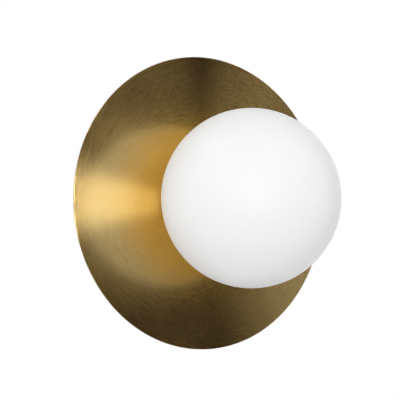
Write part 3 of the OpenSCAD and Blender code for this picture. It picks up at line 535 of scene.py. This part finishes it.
FINISHES = {
    "satin_brass": finish("spun_brass", (0.87, 0.58, 0.21), (0.78, 0.49, 0.16), (0.26, 0.38), 1.0,
                          turned_width=0.5),
    "turned_brass": finish("turned_brass", (0.86, 0.62, 0.27), (0.72, 0.48, 0.18), (0.22, 0.36), 1.0,
                           turned_width=0.3, clouds_size=6),
    "zinc_steel": finish("zinc_steel", (0.66, 0.67, 0.69), (0.5, 0.51, 0.53), (0.28, 0.46), 1.0,
                         grain=(300, 900, 2200), clouds_size=9),
    "tinned_metal": finish("tinned_metal", (0.72, 0.71, 0.69), (0.56, 0.55, 0.53), (0.25, 0.4), 1.0,
                           clouds_size=6),
    "green_screw": finish("green_screw", (0.16, 0.36, 0.12), (0.1, 0.24, 0.08), (0.35, 0.5), 0.6,
                          clouds_size=3),
    "collar_aluminium": finish("collar_aluminium", (0.78, 0.79, 0.8), (0.64, 0.65, 0.66), (0.25, 0.4), 1.0,
                               turned_width=0.3),
    "white_nylon": finish("white_nylon", (0.85, 0.84, 0.79), (0.78, 0.77, 0.71), (0.42, 0.55),
                          grain=(1500,) * 3, clouds_size=8, soft=0.2),
    "holder_plastic": finish("holder_plastic", (0.83, 0.82, 0.78), (0.77, 0.76, 0.71), (0.3, 0.42),
                             grain=(900,) * 3),
    "white_ceramic": finish("white_ceramic", (0.84, 0.82, 0.77), (0.74, 0.72, 0.66), (0.6, 0.8),
                            grain=(2500,) * 3, dent=0.04, clouds_size=5),
    "silicone": finish("silicone", (0.7, 0.7, 0.68), (0.62, 0.62, 0.6), (0.5, 0.65), soft=0.3),
    "brown_insulation": finish("brown_insulation", (0.17, 0.07, 0.03), (0.12, 0.05, 0.02), INSULATION_ROUGH,
                               clouds_size=INSULATION_CLOUDS),
    "blue_insulation": finish("blue_insulation", (0.05, 0.18, 0.5), (0.03, 0.13, 0.4), INSULATION_ROUGH,
                              clouds_size=INSULATION_CLOUDS),
    "bulb_opal": finish("bulb_opal", (0.88, 0.87, 0.84), (0.84, 0.83, 0.79), (0.4, 0.5), soft=0.4),
    "bulb_white": finish("bulb_white", (0.85, 0.85, 0.83), (0.8, 0.8, 0.78), (0.28, 0.38),
                         grain=(700,) * 3),
    "led_yellow": finish("led_yellow", (0.9, 0.72, 0.16), (0.8, 0.6, 0.1), (0.2, 0.3),
                         coat=0.5, clouds_size=1),
    "circuit_green": finish("circuit_green", (0.03, 0.2, 0.07), (0.02, 0.14, 0.05), (0.3, 0.45),
                            clouds_size=3, coat=0.3),
    "black_insulator": finish("black_insulator", (0.01, 0.01, 0.012), (0.02, 0.02, 0.022), (0.12, 0.25),
                              clouds_size=4),
}
print(len(FINISHES), "plain finishes")

# %% [markdown]
# ## Earth wire
# An earth wire is green with a yellow stripe that runs along it, so that it is never mistaken for another.
# The stripe takes a little more than a third of the way round and winds slowly. It reads U, which runs round
# the wire, and V, which runs along it.

# %% Green and yellow insulation
TURNS_A_METRE = 12.0
STRIPE_EDGE = (0.18, 0.2)  # distance from the stripe's middle, in turns, where yellow becomes green
YELLOW, GREEN, DARK_GREEN = (0.78, 0.62, 0.03), (0.05, 0.30, 0.05), (0.04, 0.24, 0.04)
striped, tree, shader = new_material("green_yellow_insulation")
around = put(tree, "ShaderNodeUVMap", uv_map="along")
place = put(tree, "ShaderNodeSeparateXYZ", {0: around.outputs["UV"]})
wound = put(tree, "ShaderNodeMath", {0: place.outputs["Y"], 1: TURNS_A_METRE, 2: place.outputs["X"]},
            operation="MULTIPLY_ADD")
turn = put(tree, "ShaderNodeMath", {0: wound.outputs[0]}, operation="FRACT")
centred = put(tree, "ShaderNodeMath", {0: turn.outputs[0], 1: 0.5}, operation="SUBTRACT")
apart = put(tree, "ShaderNodeMath", {0: centred.outputs[0]}, operation="ABSOLUTE")
stripe = put(tree, "ShaderNodeMapRange", {"Value": apart.outputs[0], "From Min": STRIPE_EDGE[0],
                                          "From Max": STRIPE_EDGE[1]})
coords = put(tree, "ShaderNodeTexCoord")
tone = put(tree, "ShaderNodeGroup", {"Vector": coords.outputs["Object"], "Size": INSULATION_CLOUDS * MM},
           node_tree=clouds)
green = blend(tree, tone.outputs["Tone"], GREEN, DARK_GREEN)
satin = put(tree, "ShaderNodeMapRange", {"Value": tone.outputs["Tone"], "To Min": INSULATION_ROUGH[0],
                                         "To Max": INSULATION_ROUGH[1]})
fill(tree, shader, {"Base Color": blend(tree, stripe.outputs[0], YELLOW, green),
                    "Roughness": satin.outputs["Result"]})
FINISHES["green_insulation"] = striped
for name, slot in (("live_lead", "brown_insulation"), ("neutral_lead", "blue_insulation"),
                   ("earth_lead", "green_insulation")):
    leads[name].data.materials.append(FINISHES[slot])

# %% Give each part its finish
done = {"disc", "globe", "live_wire", "neutral_wire", "earth_wire"}  # made again above
for row in frame["record"]["subparts"]:
    if row["node"] in done:
        continue
    part = frame["nodes"][row["node"]]
    part.data.materials.clear()
    part.data.materials.append(FINISHES[row["material_slot"]])
print(len(frame["nodes"]) - len(done), "parts finished where they are")

# %% [markdown]
# ## Floor
# The light hangs on a wall, so the floor lies well below it. It is plain and pale, and it fades into the
# white background before its edges. Seen from underneath it lets the view through. The metal doesn't mirror
# it, because the dark lower half of the plate in the photograph shows no pale floor. It also lets through
# the light of the low softboxes, which stand underneath it.

# %% Floor
FLOOR_HEIGHT = -0.9
FLOOR_REACH = 3.0
FADE_FROM, FADE_TO = 1.2, 2.8  # metres from the light
FLOOR_GLOW = 0.72
FLOOR_GREY = (0.5, 0.5, 0.5)
corners = [(x * FLOOR_REACH, y * FLOOR_REACH, FLOOR_HEIGHT) for x, y in ((-1, -1), (1, -1), (1, 1), (-1, 1))]
floor_mesh = bpy.data.meshes.new("floor")
floor_mesh.from_pydata(corners, [], [(0, 1, 2, 3)])
floor = bpy.data.objects.new("floor", floor_mesh)
bpy.context.scene.collection.objects.link(floor)
paint, tree, shader = new_material("floor_paint")
fill(tree, shader, {"Base Color": (*FLOOR_GREY, 1), "Roughness": 0.8})
rays = put(tree, "ShaderNodeLightPath")
pale = put(tree, "ShaderNodeEmission", {"Color": (1, 1, 1, 1), "Strength": FLOOR_GLOW})
unlit = put(tree, "ShaderNodeBsdfTransparent")
glow = put(tree, "ShaderNodeMixShader", {0: rays.outputs["Is Camera Ray"], 2: pale.outputs[0]})
both = put(tree, "ShaderNodeAddShader", {0: shader.outputs[0], 1: glow.outputs[0]})
coords = put(tree, "ShaderNodeTexCoord")
from_light = put(tree, "ShaderNodeVectorMath", {0: coords.outputs["Object"]}, operation="LENGTH")
fade = put(tree, "ShaderNodeMapRange", {"Value": from_light.outputs["Value"], "From Min": FADE_FROM,
                                        "From Max": FADE_TO})
white = put(tree, "ShaderNodeEmission", {"Color": (1, 1, 1, 1), "Strength": 1.0})
far_glow = put(tree, "ShaderNodeMixShader", {0: rays.outputs["Is Camera Ray"], 2: white.outputs[0]})
faded = put(tree, "ShaderNodeMixShader", {0: fade.outputs["Result"], 1: both.outputs[0],
                                          2: far_glow.outputs[0]})
under = put(tree, "ShaderNodeNewGeometry")
lit_or_mirrored = put(tree, "ShaderNodeMath", {0: rays.outputs["Is Shadow Ray"],
                                               1: rays.outputs["Is Glossy Ray"]}, operation="MAXIMUM")
absent = put(tree, "ShaderNodeMath", {0: under.outputs["Backfacing"], 1: lit_or_mirrored.outputs[0]},
             operation="MAXIMUM")
one_way = put(tree, "ShaderNodeMixShader", {0: absent.outputs[0], 1: faded.outputs[0], 2: unlit.outputs[0]})
output = next(node for node in tree.nodes if node.type == "OUTPUT_MATERIAL")
tree.links.new(one_way.outputs[0], output.inputs["Surface"])
floor_mesh.materials.append(paint)

# %% [markdown]
# ## Light
# Brushed metal shows the lamps around it, so they are placed by what the plate and the globe show.
# The key softboxes in front make the bright fan on the plate's left and the pale front of the globe. The
# ones on the left and right light the globe's sides, and the gaps between them and the key leave the dark
# lobes above and below the fan. The ones behind light the pan and the back of the plate for views from there.
# Apart from the key ones, each is named by the place where it stands.

# %% Softboxes
def softbox(name, azimuth, elevation, distance, width, height, power):
    """An area lamp that faces the middle of the light from azimuth and elevation, sizes in metres."""
    lamp = bpy.data.lights.new(name, "AREA")
    lamp.shape = "RECTANGLE"
    lamp.size, lamp.size_y, lamp.energy = width, height, power
    holder = bpy.data.objects.new(name, lamp)
    bpy.context.scene.collection.objects.link(holder)
    way = towards(azimuth, elevation)
    holder.location = AIM + way * distance
    holder.rotation_euler = way.to_track_quat("Z", "Y").to_euler()
    holder.visible_camera = False


REACH = 2.5  # from the light to each lamp, in metres
LAMPS = (  # name, azimuth, elevation, width and height in degrees as seen from the light, watts
    ("key", -28, 2, 8, 22, 22.4),
    ("key_side", -18, 3, 8, 20, 4),
    ("key_far", -4, 5, 8, 14, 3.3),
    ("key_high", 3, 24, 14, 12, 1.1),
    ("front_low", -60, -35, 16, 20, 2.2),
    ("left_high", -101, 50, 14, 24, 11.5),
    ("left_low", -95, -48, 14, 24, 3.2),
    ("left_middle", -112, -13, 12, 12, 3),
    ("right_high", 60, 38, 14, 24, 6),
    ("right_middle", 60, -12, 14, 24, 2.3),
    ("right_low", 74, -38, 14, 24, 0.5),
    ("front_right", 46, -12, 14, 24, 1.1),
    ("front_right_high", 54, 18, 14, 12, 1.5),
    ("front_high", 15, 50, 30, 24, 2.2),
    ("top", 0, 80, 44, 44, 5.5),
    ("back_left", -125, 0, 23, 53, 8),
    ("back_right", 125, 0, 23, 53, 13),
    ("back_high", 180, 45, 50, 40, 3),
    ("back_low", 180, -45, 50, 40, 1.4),
)
for name, azimuth, elevation, wide, high, watts in LAMPS:
    size = [2 * REACH * math.tan(math.radians(angle / 2)) for angle in (wide, high)]
    softbox(name, azimuth, elevation, REACH, *size, watts)
print(len(LAMPS), "softboxes,", round(sum(row[-1] for row in LAMPS), 1), "watts")

# %% [markdown]
# ## Background
# The background is white for the camera. What the metal mirrors is dim and warm in front of the plate, as a
# dark room is, and grows pale behind it, so that the pan and the back of the plate don't go black. Matt
# surfaces get a weak even fill.

# %% World
MATT_FILL = 0.09  # what lights matt surfaces
DIM, BEHIND = 0.02, 0.45  # what metal mirrors in front of the plate and behind it
WARM_ROOM, WHITE = (1.0, 0.6, 0.3), (1.0, 1.0, 1.0)
FULLY_BEHIND = 0.35  # how far a direction has to turn to the wall, 1 is straight to it
world = bpy.data.worlds.new("studio")
bpy.context.scene.world = world
world.use_nodes = True
world.cycles.sampling_method = "NONE"
tree = world.node_tree
tree.nodes.clear()
rays = put(tree, "ShaderNodeLightPath")
direction = put(tree, "ShaderNodeTexCoord")
axes = put(tree, "ShaderNodeSeparateXYZ", {0: direction.outputs["Generated"]})
behind = put(tree, "ShaderNodeMapRange", {"Value": axes.outputs["Y"], "From Min": 0.0,
                                          "From Max": FULLY_BEHIND})
in_metal = put(tree, "ShaderNodeMath", {0: rays.outputs["Is Glossy Ray"],
                                        1: rays.outputs["Is Transmission Ray"]}, operation="MAXIMUM")
mirrored = put(tree, "ShaderNodeMapRange", {"Value": behind.outputs[0], "To Min": DIM, "To Max": BEHIND})
for_parts = put(tree, "ShaderNodeMix", {"Factor": in_metal.outputs[0], "A": MATT_FILL,
                                        "B": mirrored.outputs[0]})
shade = put(tree, "ShaderNodeMix", {"Factor": rays.outputs["Is Camera Ray"], "A": for_parts.outputs[0],
                                    "B": 1.0})
room = blend(tree, behind.outputs[0], WARM_ROOM, WHITE)
tint = blend(tree, in_metal.outputs[0], WHITE, room)
sky = put(tree, "ShaderNodeBackground", {"Color": tint, "Strength": shade.outputs[0]})
put(tree, "ShaderNodeOutputWorld", {"Surface": sky.outputs[0]})
bpy.context.scene.view_settings.view_transform = "Standard"
